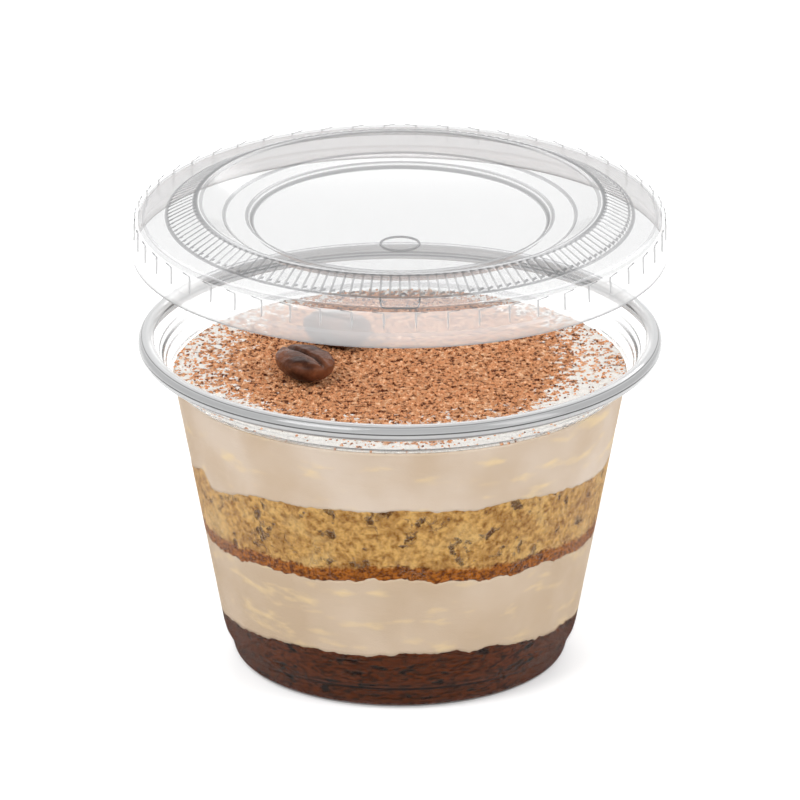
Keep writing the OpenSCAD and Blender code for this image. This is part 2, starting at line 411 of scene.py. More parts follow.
def creamMaterial(name, light, dark):
    material, tree, shader, coords = newMaterial(name)
    wide = noiseNode(tree, coords, 75.0, 3.0)
    fine = noiseNode(tree, stretched(tree, coords, (1.0, 1.0, 3.0)), 150.0, 4.0)
    base = mixColor(tree, light, dark, rangeNode(tree, wide, 0.35, 0.65))
    yolk = mixColor(tree, base, rgb(238, 212, 158), rangeNode(tree, fine, 0.56, 0.70, 0.0, 0.5))
    feed(tree, shader, {"Base Color": yolk, "Roughness": 0.5, "Specular IOR Level": wetContact})
    bumpInto(tree, shader, mathNode(tree, "ADD", wide, timesNode(tree, fine, 0.3)), 0.0008, 0.6)
    return material


cocoaFinish = {
    "dense": rgb(214, 150, 104), "dark": rgb(88, 38, 14), "light": rgb(250, 206, 166),
    "bare": rgb(253, 249, 243),
}


def cocoaTone(tree, coords):
    clump = noiseNode(tree, coords, 1500.0, 3.0, 0.6)
    color = mixColor(tree, cocoaFinish["dense"], cocoaFinish["dark"], rangeNode(tree, clump, 0.52, 0.62))
    return mixColor(tree, color, cocoaFinish["light"], rangeNode(tree, clump, 0.44, 0.34)), clump


def dustedMaterial():
    material, tree, shader, coords = newMaterial("dustedCream")
    tone, clump = cocoaTone(tree, coords)
    patch = noiseNode(tree, coords, 820.0, 5.0, 0.7)
    cover = mathNode(tree, "ADD", pointLine(tree), timesNode(tree, patch, 2.6))
    mask = rangeNode(tree, cover, 1.72, 1.88)
    color = mixColor(tree, cocoaFinish["bare"], tone, mask)
    feed(tree, shader, {"Base Color": color, "Roughness": 0.85, "Specular IOR Level": 0.25})
    bumpInto(tree, shader, mathNode(tree, "ADD", clump, patch), 0.0009)
    return material


def grainMaterial():
    material, tree, shader, coords = newMaterial("cocoaGrain")
    tone, clump = cocoaTone(tree, coords)
    feed(tree, shader, {"Base Color": tone, "Roughness": 0.9, "Specular IOR Level": 0.2})
    bumpInto(tree, shader, clump, 0.0003)
    return material


def beanMaterial():
    material, tree, shader, coords = newMaterial("roastedBean")
    wide = noiseNode(tree, coords, 260.0, 4.0)
    fine = noiseNode(tree, coords, 1400.0, 4.0)
    skin = mixColor(tree, rgb(120, 72, 48), rgb(52, 26, 16), rangeNode(tree, wide, 0.35, 0.65))
    skin = mixColor(tree, skin, rgb(126, 84, 60), rangeNode(tree, fine, 0.58, 0.76, 0.0, 0.6))
    # painted shade: the crease is darkened by its depth, which the points carry
    feed(tree, shader, {
        "Base Color": mixColor(tree, skin, rgb(20, 12, 10), pointLine(tree)),
        "Roughness": rangeNode(tree, wide, 0.3, 0.7, 0.2, 0.38), "Specular IOR Level": 0.1,
        "Coat Weight": 0.12, "Coat Roughness": 0.1,
    })
    bumpInto(tree, shader, mathNode(tree, "ADD", wide, timesNode(tree, fine, 0.25)), 0.0006, 0.7)
    return material


spongeFinish = spongeMaterial()
chocolateFinish = chocolateMaterial()
upperCreamFinish = creamMaterial("whippedCream", rgb(214, 197, 180), rgb(200, 178, 154))
lowerCreamFinish = creamMaterial("lowerWhippedCream", rgb(207, 187, 165), rgb(193, 170, 144))
dustedFinish = dustedMaterial()
grainFinish = grainMaterial()
beanFinish = beanMaterial()


# Cup

cupSizes = {
    "sheet": 0.35, "curlR": 1.2, "shoulderR": 32.4, "waistR": 25.3, "bandR": 24.1, "stepZ": 3.5,
    "cornerR": 2.2, "baseRise": 1.0, "basePanelR": 16.5, "ringDrop": 5.4, "ringStep": 0.6, "ringH": 0.5,
    "neckStep": 0.35, "waistRise": 2.1, "bandDraft": 0.25, "stepW": 0.4, "fillet": 0.3, "segments": 300,
}


def footPath(s):
    half = s["sheet"] / 2
    corner = (s["bandR"] - s["cornerR"] - s["bandDraft"], s["cornerR"])
    band, waist = s["bandR"] - half, s["waistR"] - half
    waistZ = s["stepZ"] + s["waistRise"]
    start = [(0, s["baseRise"] + half), (s["basePanelR"], s["baseRise"] + half)]
    start.append((s["basePanelR"] + s["baseRise"], half))
    rise = [(band, s["stepZ"] - s["bandDraft"]), (band + s["stepW"], s["stepZ"] + 0.1)]
    rise += [(waist - 0.3, waistZ - s["waistRise"] / 2), (waist, waistZ)]
    return start + arcPoints(corner, s["cornerR"] - half, -90, -8, 8) + rise


def cupPath(s):
    half = s["sheet"] / 2
    curl = (rimR - s["curlR"], cupTop - s["curlR"])
    shoulder = (s["shoulderR"] - half, cupTop - s["ringDrop"])
    foot = (shoulder[0] + s["ringStep"], shoulder[1] + s["ringH"])
    mid = ((foot[0] + rimR - 2 * s["curlR"] + half) / 2, (foot[1] + curl[1]) / 2)
    step = s["neckStep"] / 2
    neck = [shoulder, foot, (mid[0] - step, mid[1] - step), (mid[0] + step, mid[1] + step)]
    return footPath(s) + neck + arcPoints(curl, s["curlR"] - half, 180, -110, 40)


wallFinish = {  # the smooth wall, which bends light as real sheet does
    "clear": (0.985, 0.985, 0.98, 1), "edge": (0.05, 0.047, 0.045, 1), "roughness": 0.02, "ior": 1.2,
    "lightPassed": 0.97, "edgeFrom": 0.42, "edgeTo": 0.8, "edgeLeft": 0.12,
    # the lines below are painted shade at the foot's step and near the base, in the dark edge colour, for the
    # refraction at these bends
    "shadeLines": ((3.6, 0.36, 1.0), (4.3, 0.2, 0.6), (0.5, 0.3, 0.4)),
}
rimFinish = {  # the rolled rim and its neck; the roll's grey, its bands and the lines are painted shade for the refraction in the rolled sheet
    "clear": (0.50, 0.503, 0.507, 1), "clearer": (0.8, 0.8, 0.8, 1), "edge": (0.04, 0.04, 0.04, 1),
    "veil": 0.06, "rollCover": 0.86, "lineCover": 0.95,
    "glance": 0.45, "glancePower": 3.0, "roughness": 0.14, "coat": 0.45, "lightPassed": 0.85,
    "shadeBands": ((55, 6, 0.6), (29, 24, 0.34), (3, 7, 0.97), (-38, 13, 0.75), (-72, 16, 0.9), (150, 10, 0.55),
              (118, 7, 0.3)),
    "clearFrom": 85, "clearAll": 115,
    "shadeLines": ((42.95, 0.36, 1.0),), "inside": 0.3, "across": 0.08,
    "glanceShadeLines": ((43.9, 0.2, 0.7), (44.8, 0.3, 1.0), (45.5, 0.16, 0.85)),
}


def wallMaterial():
    material, tree, shader, coords = newMaterial("clearCupWall")
    height = placeOnSheet(tree, coords)[1]
    shadeLines = paintShadeLines(tree, height, wallFinish["shadeLines"])
    held = restOf(tree, timesNode(tree, unseenRays(tree), wallFinish["lightPassed"]))
    facing = tree.nodes.new("ShaderNodeLayerWeight").outputs["Facing"]
    edge = rangeNode(tree, facing, wallFinish["edgeFrom"], wallFinish["edgeTo"], 1.0, wallFinish["edgeLeft"])
    feed(tree, shader, {
        # painted shade: the lines darken the wall's tint
        "Base Color": mixColor(tree, wallFinish["clear"], wallFinish["edge"], shadeLines),
        "Roughness": wallFinish["roughness"], "IOR": wallFinish["ior"], "Transmission Weight": 1.0,
        "Alpha": timesNode(tree, held, edge),
    })
    return material


def rimMaterial():
    material, tree, shader, coords = newMaterial("clearCupRim")
    values = rimFinish
    radius, height = placeOnSheet(tree, coords)[:2]
    curl = ((rimR - cupSizes["curlR"]) * mm, (cupTop - cupSizes["curlR"]) * mm)
    outward = mathNode(tree, "SUBTRACT", radius, curl[0])
    upward = mathNode(tree, "SUBTRACT", height, curl[1])
    angle = mathNode(tree, "ARCTAN2", upward, outward)
    near = mathNode(tree, "LESS_THAN", lengthOf(tree, outward, upward), (cupSizes["curlR"] + 0.02) * mm)
    beyondNeck = mathNode(tree, "GREATER_THAN", outward, -cupSizes["curlR"] * 0.86 * mm)
    roll = timesNode(tree, near, beyondNeck)
    # painted shade bands round the roll, at angles of its section
    shadeBands = timesNode(tree, paintShadeLines(tree, angle, values["shadeBands"], math.radians(1)), roll)
    facing = tree.nodes.new("ShaderNodeLayerWeight").outputs["Facing"]
    # painted shade streaks on the neck, stronger at a glancing view
    glanced = paintShadeLines(tree, height, values["glanceShadeLines"])
    sideways = timesNode(tree, glanced, rangeNode(tree, facing, 0.35, 0.75))
    straight = paintShadeLines(tree, height, values["shadeLines"])
    straight = timesNode(tree, straight, rangeNode(tree, facing, 0.3, 0.7, 1.0, 0.4))
    out = unit2((cupSizes["ringH"], -cupSizes["ringStep"]))
    shoulder = (cupSizes["shoulderR"] - cupSizes["sheet"] / 2, cupTop - cupSizes["ringDrop"])
    middle = out[0] * shoulder[0] + out[1] * shoulder[1]
    depth = mathNode(tree, "ADD", timesNode(tree, radius, out[0]), timesNode(tree, height, out[1]))
    low, high = (middle - values["across"]) * mm, (middle + values["across"]) * mm
    outside = rangeNode(tree, depth, low, high, values["inside"], 1.0)
    straight = timesNode(tree, straight, outside)  # the step's painted shade line is crisp on the outer side only
    shadeLines = timesNode(tree, mathNode(tree, "MAXIMUM", straight, sideways), restOf(tree, roll))
    dark = mathNode(tree, "MAXIMUM", shadeBands, shadeLines)
    # the roll's inner side gets a lighter grey and half the cover, so less of the painted shade
    inner = rangeNode(tree, angle, math.radians(values["clearFrom"]), math.radians(values["clearAll"]))
    sheet = mixColor(tree, values["clear"], values["clearer"], inner)
    link(tree, mixColor(tree, sheet, values["edge"], dark), shader.inputs["Base Color"])
    roll = timesNode(tree, roll, restOf(tree, timesNode(tree, inner, 0.5)))
    cover = mathNode(tree, "ADD", timesNode(tree, roll, values["rollCover"]), values["veil"])
    cover = mathNode(tree, "ADD", cover, timesNode(tree, dark, values["lineCover"]), clamp=True)
    setGloss(tree, shader, values)
    sheetCover(tree, shader, cover, values)
    return material


print("making the cup")
cupLine = roundPath(cupPath(cupSizes), cupSizes["fillet"])
cupShell = spinSheet("cupShell", cupLine, cupSizes["sheet"], cupSizes["segments"], wallMaterial())
cupShell.data.materials.append(rimMaterial())
for face in cupShell.data.polygons:
    if face.center.z > (cupTop - cupSizes["ringDrop"] + 0.05) * mm:
        face.material_index = 1
placePiece(cupShell, "filled_cup", "cup_sheet", "cup")


# Lid, measured from the flange's top

lidSizes = {
    "sheet": 0.35, "gap": 0.08, "lift": 17.4, "skirtH": 5.6, "flare": 0.4, "flangeW": 3.1, "fluteW": 4.0,
    "crestH": 2.1, "crestFlat": 0.8, "ledgeR": 24.8, "ledgeDrop": 0.1, "panelR": 21.6, "panelDrop": 0.9,
    "panelSlope": 0.7, "flutes": 144, "fluteDepth": 0.22, "perFlute": 6, "fillet": 0.32, "flareH": 0.5,
}
lidHalf = lidSizes["sheet"] / 2
lidTop = cupTop + lidSizes["gap"] + lidSizes["sheet"] + lidSizes["lift"]
lidCornerR = cupSizes["curlR"] + lidSizes["gap"] + lidHalf
lidCorner = (rimR - cupSizes["curlR"], -lidHalf - lidCornerR)
skirtR = lidCorner[0] + lidCornerR
fluteOut = skirtR + lidHalf - lidSizes["flangeW"] - lidCornerR
fluteIn = fluteOut - lidSizes["fluteW"]


def lidPath(s):
    top = s["crestH"] - lidHalf
    flareZ = -s["skirtH"] * 0.62
    inside = [(0, -s["panelDrop"] - lidHalf), (s["panelR"] - s["panelSlope"], -s["panelDrop"] - lidHalf)]
    inside += [(s["panelR"], -s["ledgeDrop"] - lidHalf), (s["ledgeR"], -s["ledgeDrop"] - lidHalf)]
    slopeTop = top - 0.05
    crest = [(fluteIn - s["crestFlat"], top - 0.1), (fluteIn - s["crestFlat"] / 2, top), (fluteIn, slopeTop)]
    slope = [(fluteIn + s["fluteW"] * k / 6, slopeTop - (slopeTop + lidHalf) * k / 6) for k in range(1, 6)]
    flange = [(fluteOut, -lidHalf)] + arcPoints(lidCorner, lidCornerR, 90, 0, 9)
    flare = [(skirtR, flareZ), (skirtR + s["flare"] * 0.6, flareZ - s["flareH"])]
    return inside + crest + slope + flange + flare + [(skirtR + s["flare"], -s["skirtH"])]


def fluteWave(r, a):
    share = (r - fluteIn) / lidSizes["fluteW"]
    if share <= 0 or share >= 1:
        return 0, 0
    ends = min(1.0, share / 0.12, (1 - share) / 0.12)
    ridge = abs(math.sin(a * lidSizes["flutes"] / 2))
    lift = lidSizes["fluteDepth"] * (ridge - 0.2) * ends
    return lift * 0.4, lift * 0.9


lidFinish = {
    "clear": (0.33, 0.332, 0.336, 1), "skirt": (0.86, 0.86, 0.86, 1), "edge": (0.05, 0.052, 0.055, 1),
    "veil": 0.50, "lineCover": 0.6, "skirtR": 36.2, "skirtDrop": 0.5,
    "glance": 0.3, "glancePower": 3.0, "roughness": 0.15, "coat": 0.12, "lightPassed": 0.85,
    # the rings, the hems, the flute valleys and the dots are painted shade lines for the refraction at the
    # sheet's bends, in the dark edge colour
    "rings": ((20.9, 0.34, 0.5), (21.6, 0.3, 0.42), (24.8, 0.32, 0.4), (28.1, 0.3, 0.34), (28.9, 0.45, 0.64),
              (32.9, 0.3, 0.5), (36.2, 0.3, 0.16)),
    "hems": ((-5.5, 0.22, 0.5), (-3.6, 0.25, 0.14)),
    "fluteShade": 0.8, "fluteWidth": 0.3, "shadeDots": 0.5,
}


def lidMaterial():
    material, tree, shader, coords = newMaterial("hazyLidSheet")
    values = lidFinish
    radius, height, turn = placeOnSheet(tree, coords)
    shadeLines = paintShadeLines(tree, radius, values["rings"])
    hems = [(lidTop + z, width, depth) for z, width, depth in values["hems"]]
    shadeLines = paintShadeLines(tree, height, hems, others=shadeLines)
    share = mathNode(tree, "FRACT", timesNode(tree, turn, lidSizes["flutes"] / fullTurn))
    off = mathNode(tree, "ABSOLUTE", mathNode(tree, "SUBTRACT", share, 0.5))
    valley = rangeNode(tree, off, 0.5 - values["fluteWidth"] / 2, 0.5 - values["fluteWidth"] / 4)
    # painted shade along the flute valleys, patchy and stronger at a glancing view
    patch = rangeNode(tree, noiseNode(tree, coords, 130.0, 3.0), 0.35, 0.6, 0.55, 1.0)
    facing = tree.nodes.new("ShaderNodeLayerWeight").outputs["Facing"]
    patch = timesNode(tree, patch, rangeNode(tree, facing, 0.15, 0.6, 0.3, 1.0))
    onFlutes = between(tree, radius, fluteIn, fluteOut)
    valley = timesNode(tree, valley, patch, values["fluteShade"], onFlutes)
    onDots = between(tree, radius, fluteOut - 0.75, fluteOut - 0.4)
    shadeDots = timesNode(tree, mathNode(tree, "GREATER_THAN", share, 0.5), values["shadeDots"], onDots)
    # the grips, the tab and the ring mark bring their own painted shade at their points
    for others in (mathNode(tree, "MAXIMUM", valley, shadeDots), pointLine(tree)):
        shadeLines = mathNode(tree, "MAXIMUM", shadeLines, others)
    low = mathNode(tree, "LESS_THAN", height, (lidTop - values["skirtDrop"]) * mm)
    onSkirt = timesNode(tree, low, mathNode(tree, "GREATER_THAN", radius, values["skirtR"] * mm))
    sheet = mixColor(tree, values["clear"], values["skirt"], onSkirt)  # painted light: the upright skirt catches less light, so it is given a lighter colour
    link(tree, mixColor(tree, sheet, values["edge"], shadeLines), shader.inputs["Base Color"])
    cover = mathNode(tree, "ADD", timesNode(tree, shadeLines, values["lineCover"]), values["veil"], clamp=True)
    setGloss(tree, shader, values)
    sheetCover(tree, shader, cover, values)
    return material


print("making the lid")
lidLine = [(r, z + lidTop) for r, z in roundPath(lidPath(lidSizes), lidSizes["fillet"])]
lidSegments = lidSizes["flutes"] * lidSizes["perFlute"]
lidSheet = lidMaterial()
lidShell = spinSheet("lidShell", lidLine, lidSizes["sheet"], lidSegments, lidSheet, fluteWave)
placePiece(lidShell, "lid", "lid_sheet", "lid")

# the rib and arm values are painted shade, which the lid's material draws dark on the lugs
gripSizes = {
    "count": 52, "width": 0.34, "height": 2.4, "arm": 1.7, "stand": 0.2, "ribShade": 0.5, "armShade": 0.42,
}


def gripLug(side):  # a tapered rib with a short arm along the flange's edge, lying on the skirt at +X
    r, w, h = skirtR + lidHalf, gripSizes["width"] / 2, gripSizes["height"]
    out = r + gripSizes["stand"]
    z0 = lidTop + lidCorner[1] + h * 0.42
    sections = [(-0.05, z0 + 0.1, w * 0.5), (0.0, z0 - h * 0.3, w)]
    sections += [(0.0, z0 - h * 0.7, w * 0.7), (0.0, z0 - h, w * 0.15)]
    points, faces, shade = [], [], []
    for shift, z, half in sections:
        points += [(r - 0.06, shift - half, z), (out, shift, z), (r - 0.06, shift + half, z)]
        shade += [gripSizes["ribShade"]] * 3
    for i in range(len(sections) - 1):
        for k in range(3):
            a, b = 3 * i + k, 3 * i + (k + 1) % 3
            faces.append((a + 3, b + 3, b, a))
    faces += [(0, 1, 2), (11, 10, 9)]
    start = len(points)
    for t, half in ((0.0, 0.1), (1.0, 0.03)):  # the arm
        y = side * gripSizes["arm"] * t
        rise = 0.25 * t
        back = r - y * y / (2 * r)
        z = z0 + rise
        points += [(back - 0.1, y, z - half), (back + 0.1, y, z), (back - 0.1, y, z + half)]
        shade += [gripSizes["armShade"]] * 3
    for k in range(3):
        a, b = start + k, start + (k + 1) % 3
        faces.append((a, b, b + 3, a + 3) if side > 0 else (a + 3, b + 3, b, a))
    caps = [(start + 2, start + 1, start), (start + 3, start + 4, start + 5)]
    faces += caps if side > 0 else [face[::-1] for face in caps]
    return makeObject("gripLug", points, faces, lidSheet, shade, smooth=False)


def setCopies(tree, given, result, values):  # copies on points, made real, in the given material
    copies = addNode(tree, "GeometryNodeInstanceOnPoints", values)
    real = addNode(tree, "GeometryNodeRealizeInstances", {"Geometry": copies["Instances"]})
    paint = addNode(tree, "GeometryNodeSetMaterial", {
        "Geometry": real["Geometry"], "Material": given["Material"],
    })
    link(tree, paint["Geometry"], result["Geometry"])


def ringTree():
    tree, given, result = newGroup("ribRing", "GeometryNodeTree", (
        ("Geometry", "Geometry"), ("Count", "Int", 26), ("First Angle", "Float", 0.0),
        ("Pitch", "Float", 0.1), ("Rib", "Object"), ("Material", "Material"),
    ), (("Geometry", "Geometry"),))
    row = addNode(tree, "GeometryNodeMeshLine", {"Offset": (0, 0, 0), "Count": given["Count"]})
    index = tree.nodes.new("GeometryNodeInputIndex").outputs["Index"]
    turn = mathNode(tree, "ADD", timesNode(tree, index, given["Pitch"]), given["First Angle"])
    angles = addNode(tree, "ShaderNodeCombineXYZ", {"Z": turn})
    rib = addNode(tree, "GeometryNodeObjectInfo", {"Object": given["Rib"]})
    setCopies(tree, given, result, {
        "Points": row["Mesh"], "Instance": rib["Geometry"], "Rotation": angles["Vector"],
    })
    return tree


def growNodes(name, host, tree, values):  # runs a node tree on a host and keeps the result as a plain mesh
    modifier = host.modifiers.new(tree.name, "NODES")
    modifier.node_group = tree
    ids = {item.name: item.identifier for item in tree.interface.items_tree if item.in_out == "INPUT"}
    for key, value in values.items():
        modifier[ids[key]] = value
    bpy.context.view_layer.update()
    graph = bpy.context.evaluated_depsgraph_get()
    mesh = bpy.data.meshes.new_from_object(host.evaluated_get(graph), depsgraph=graph)
    mesh.name = name
    host.modifiers.remove(modifier)
    return newObject(name, mesh)


ribRing = ringTree()
pitch = fullTurn / gripSizes["count"]
for side, name in ((1, "gripRibsRight"), (-1, "gripRibsLeft")):
    lug = gripLug(side)
    host = newObject("host", bpy.data.meshes.new("host"))
    ribs = growNodes(name, host, ribRing, {
        "Count": gripSizes["count"] // 2, "First Angle": -side * math.pi / 2 + pitch / 2, "Pitch": pitch,
        "Rib": lug, "Material": lidSheet,
    })
    placePiece(ribs, "lid", "lid_sheet", "lid")
    bpy.data.objects.remove(lug)
    bpy.data.objects.remove(host)

tabSizes = {"width": 5.6, "wire": 0.12, "corner": 0.8}


def tubeAlong(name, line, radius, material, closed=False, sides=6, dark=1.0):
    count = len(line)
    points, faces = [], []
    for i, here in enumerate(line):
        before = line[i - 1] if i > 0 or closed else line[0]
        after = line[(i + 1) % count] if i < count - 1 or closed else line[-1]
        along = (Vector(after) - Vector(before)).normalized()
        across = along.cross(Vector((0, 0, 1))).normalized()
        up = across.cross(along)
        for k in range(sides):
            t = fullTurn * k / sides
            points.append(tuple(Vector(here) + radius * (across * math.cos(t) + up * math.sin(t))))
    last = count if closed else count - 1
    for i in range(last):
        for k in range(sides):
            a, b = i * sides + k, i * sides + (k + 1) % sides
            c, d = ((i + 1) % count) * sides + k, ((i + 1) % count) * sides + (k + 1) % sides
            faces.append((a, c, d, b))
    if not closed:
        faces.append(tuple(range(sides)))
        faces.append(tuple((count - 1) * sides + k for k in reversed(range(sides))))
    return makeObject(name, points, faces, material, [dark] * len(points))


def tabLine():
    w, c = tabSizes["width"] / 2, tabSizes["corner"]
    yIn, yOut = -fluteOut + 0.2, -lidCorner[0] - 0.7
    zTop = lidTop + 0.02
    line = [(-w, yIn, zTop), (-w + 0.1, yOut + 1.6, zTop)]
    line += [(x - w + 0.2 + c, y + yOut + c, zTop - 0.12) for x, y in arcPoints((0, 0), c, 180, 270, 4)]
    line += [(x + w - 0.2 - c, y + yOut + c, zTop - 0.12) for x, y in arcPoints((0, 0), c, 270, 360, 4)]
    return line + [(w - 0.1, yOut + 1.6, zTop), (w, yIn, zTop)]


# the tab's outline carries painted shade at its points
lidTab = tubeAlong("lidTab", tabLine(), tabSizes["wire"], lidSheet, dark=0.7)
placePiece(lidTab, "lid", "lid_sheet", "lid")

markSizes = {"radius": 2.75, "wire": 0.16, "centreY": -9.07}
markLine = [(r, y + markSizes["centreY"], lidTop - lidSizes["panelDrop"]) for r, y in
            arcPoints((0, 0), markSizes["radius"], 0, 355, 71)]
# the ring mark carries painted shade at its points too
lidMark = tubeAlong("lidMark", markLine, markSizes["wire"], lidSheet, closed=True, dark=0.45)
placePiece(lidMark, "lid", "lid_sheet", "lid")


# Filling

fillSizes = {
    "press": 0.06, "headSpace": 5.5, "cocoa": 0.35, "chocRise": 3.8, "lowerCream": 11.9, "sponge": 11.4,
    "sag": 2.6, "scallop": 0.42, "lobes": (11, 7, 9), "raggedness": (0.36, 0.46, 0.3), "turnSteps": 720,
    "crumbDepth": 0.07, "crumbFrom": 0.42, "swirlDepth": 0.05, "crust": 2.9, "chocRows": 14,
    "cutLine": ((-180, 0), (-160, 0), (-120, -1.5), (-90, -2.2), (-67, 0.4), (-63, -1.5), (-30, 0), (180, 0)),
}
fillTurns = [fullTurn * i / fillSizes["turnSteps"] for i in range(fillSizes["turnSteps"])]
waistZ = cupSizes["stepZ"] + cupSizes["waistRise"]
halfSheet = cupSizes["sheet"] / 2
slope = (cupSizes["shoulderR"] - cupSizes["waistR"]) / (cupTop - cupSizes["ringDrop"] - waistZ)
wallClear = halfSheet - fillSizes["press"]
cocoaZ = cupTop - fillSizes["headSpace"]
creamZ = cocoaZ - fillSizes["cocoa"]
chocFront = waistZ + fillSizes["chocRise"]
creamFront = chocFront + fillSizes["lowerCream"]
frontZ = [chocFront, creamFront, creamFront + fillSizes["sponge"]]


def fillR(z):  # the food is pressed a hair into the wall, as wet food leaves no air there
    return cupSizes["waistR"] - halfSheet + (z - waistZ) * slope - wallClear * math.hypot(1, slope)


def sagAt(a):
    return fillSizes["sag"] * (1 - ((1 + math.cos(a)) / 2) ** 2)


def ripple(k, a):
    waves = ((0.5, 5, 130), (0.3, 8, 57), (0.2, 13, 211))
    return sum(size * math.sin(count * a + math.radians(shift * k)) for size, count, shift in waves)


def ragged(k, a):
    p = Vector((math.sin(a) * 9, math.cos(a) * 9, k * 7.3))
    octaves = ((1.0, 1.0), (0.7, 2.3), (0.5, 5.1), (0.3, 11.0))
    return sum(size * noise.noise(p * scale) for size, scale in octaves)


def lobes(k, a):  # round lobes of cream with sharp crests between them
    return 0.6 - abs(math.sin(fillSizes["lobes"][k] * a / 2 + 0.8 * ripple(k, a)))


def cutLine(k, a):  # the sponge's top has a step where its slice was cut short, on the left
    if k != 2:
        return 0.0
    turn = math.degrees(a if a < math.pi else a - fullTurn)
    for (at, rise), (nextAt, nextRise) in zip(fillSizes["cutLine"], fillSizes["cutLine"][1:]):
        if at <= turn <= nextAt:
            return rise + (nextRise - rise) * (turn - at) / (nextAt - at)
    return 0.0


def edgeZ(k, a):
    wave = fillSizes["scallop"] * (0.6 * ripple(k, a) + lobes(k, a))
    wave += fillSizes["raggedness"][k] * ragged(k, a)
    return frontZ[k] - sagAt(a) + wave + cutLine(k, a)


def ringedSolid(name, rings, low, high, material, shadeAt=None):
    count = len(rings[0])
    points = [low] + [p for ring in rings for p in ring] + [high]
    top = len(points) - 1
    faces = [(1 + (i + 1) % count, 1 + i, 0) for i in range(count)]
    for j in range(len(rings) - 1):
        for i in range(count):
            a, b = 1 + j * count + i, 1 + j * count + (i + 1) % count
            faces.append((b, b + count, a + count, a))
    base = 1 + (len(rings) - 1) * count
    faces += [(base + (i + 1) % count, top, base + i) for i in range(count)]
    shade = [shadeAt(p) for p in points] if shadeAt else None
    return makeObject(name, points, faces, material, shade)


def faceRing(edges, mean, share, inset=0.25):  # one ring of a layer's lower or upper face
    flat = share ** 2
    return [atTurn((fillR(z) - inset) * share, a, mean + (z - mean) * flat) for a, z in zip(fillTurns, edges)]


def sideRing(heights, relief):  # one ring up a layer's side
    ring = []
    for a, z in zip(fillTurns, heights):
        r = fillR(z)
        r -= relief(Vector(atTurn(r, a, z)))
        ring.append(atTurn(r, a, z))
    return ring


def layerSolid(name, material, lower, upper, rows, relief, shadeAt=None):
    lows, highs = [lower(a) for a in fillTurns], [upper(a) for a in fillTurns]
    meanLow, meanHigh = sum(lows) / len(lows), sum(highs) / len(highs)
    rings = [faceRing(lows, meanLow, share) for share in (0.35, 0.7, 0.9, 1)]
    for j in range(rows + 1):
        t = j / rows
        rings.append(sideRing([z0 + (z1 - z0) * t for z0, z1 in zip(lows, highs)], relief))
    rings += [faceRing(highs, meanHigh, share) for share in (1, 0.9, 0.7, 0.35)]
    return ringedSolid(name, rings, (0, 0, meanLow), (0, 0, meanHigh), material, shadeAt)


def crumbRelief(p):
    pits = noise.noise(p * 0.6) + 0.7 * noise.noise(p * 1.9)
    return fillSizes["crumbDepth"] * max(0.0, pits - fillSizes["crumbFrom"])


def creamRelief(p):
    swirl = noise.noise(Vector((p.x * 0.16, p.y * 0.16, p.z * 0.45)))
    return fillSizes["swirlDepth"] * max(0.0, swirl)


def layerFace(k):
    return lambda a: edgeZ(k, a)


print("making the filling")
bed = beside(footPath(cupSizes), wallClear)


def chocolateLayer():
    rings = [[atTurn(r, a, z) for a in fillTurns] for r, z in bed[1:]]
    upper = [edgeZ(0, a) for a in fillTurns]
    rows = fillSizes["chocRows"]
    for j in range(1, rows + 1):
        rings.append(sideRing([waistZ + (top - waistZ) * j / rows for top in upper], crumbRelief))
    mean = sum(upper) / len(upper)
    rings += [faceRing(upper, mean, share, 0) for share in (0.95, 0.7, 0.35)]
    return ringedSolid("chocolateLayer", rings, (0, 0, bed[0][1]), (0, 0, mean), chocolateFinish)


def crustShade(p):  # 1 on the browned underside, fading over its thickness
    a = math.atan2(p[0], -p[1])
    return max(0.0, min(1.0, 1.25 - (p[2] - edgeZ(1, a)) / fillSizes["crust"]))


placePiece(chocolateLayer(), "filled_cup", "chocolate_sponge", "chocolate_sponge")
lowerCream = layerSolid("lowerCream", lowerCreamFinish, layerFace(0), layerFace(1), 24, creamRelief)
placePiece(lowerCream, "filled_cup", "cream", "lower_cream")
vanillaFaces = (layerFace(1), layerFace(2))
vanillaLayer = layerSolid("vanillaLayer", spongeFinish, *vanillaFaces, 48, crumbRelief, crustShade)
placePiece(vanillaLayer, "filled_cup", "vanilla_sponge", "vanilla_sponge")
upperCream = layerSolid("upperCream", upperCreamFinish, layerFace(2), lambda a: creamZ, 24, creamRelief)
placePiece(upperCream, "filled_cup", "cream", "upper_cream")

cocoaSizes = {
    "rings": 90, "steps": 360, "bump": 0.16, "sink": 0.12, "margin": 0.25, "sway": 0.1,
    "grains": 7500, "grainR": 0.24, "grainSpread": 27.0, "seed": 4,
    "denseR": 26, "denseDip": 13, "thinR": 32, "full": 1.1, "thinning": 0.72, "bareTurn": 0.42, "bareW": 4.5,
    "bare": ((-0.8, 28.5, 0.34), (0.9, 28, 0.5), (1.4, 26, 0.16), (-0.25, 30.5, 0.3), (0.3, 30.5, 0.3),
             (-0.5, 20.5, 0.32), (0.0, 21, 0.3), (0.5, 20.5, 0.36)),
}


def coverAt(r, a):  # how thickly the powder lies, over 1 in the middle, thinner in patches at the edge
    s = cocoaSizes
    denseR = s["denseR"] - s["denseDip"] * abs(math.sin(a)) ** 1.5
    t = max(0.0, min(1.0, (r - denseR) / (s["thinR"] - denseR)))
    cover = s["full"] - s["thinning"] * t * t * (3 - 2 * t)
    for bareAt, bareR, depth in s["bare"]:
        cover -= depth * math.exp(-((a - bareAt) / s["bareTurn"]) ** 2 - ((r - bareR) / s["bareW"]) ** 2)
    return cover


